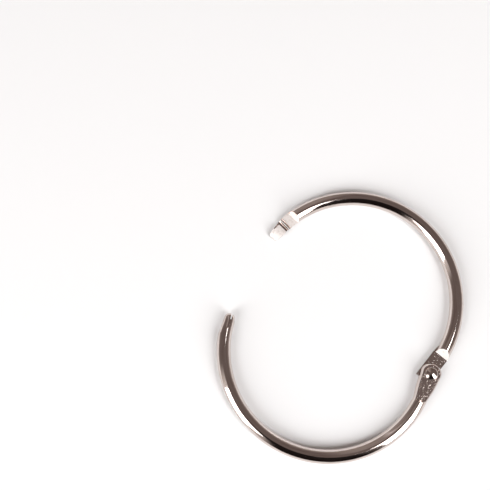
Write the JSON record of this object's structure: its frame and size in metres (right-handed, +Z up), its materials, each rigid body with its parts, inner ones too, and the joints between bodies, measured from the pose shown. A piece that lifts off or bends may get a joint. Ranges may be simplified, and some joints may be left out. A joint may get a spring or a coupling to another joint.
{
  "type": "binder ring",
  "caption": "Loose-leaf binder ring: half rings of round steel wire joined by a flat riveted hinge, with a toothed half-lap snap latch, lying open.",
  "frame": {"origin": "middle of the open ring's box to within about 0.1 mm, on the surface that it lies on", "axes": "+Z up, square to the ring; +X towards the hinge rivet; +Y towards the half with the tongue"},
  "size_m": [0.0576, 0.0738, 0.0038],
  "materials": {
    "bright_nickel": "bright nickel plate on drawn steel wire, polished",
    "rivet_nickel": "bright nickel plate on a peened steel rivet, polished"
  },
  "bodies": {
    "latch_side": {"latch_half": "bright_nickel", "hinge_rivet": "rivet_nickel"},
    "nose_side": {"nose_half": "bright_nickel"}
  },
  "joints": [
    {"name": "hinge", "type": "hinge", "parent": "latch_side", "child": "nose_side", "pos_m": [0.02607, 0, 0.00185], "axis": [0, 0, 1], "range_deg": [-32.5, 125]}
  ]
}
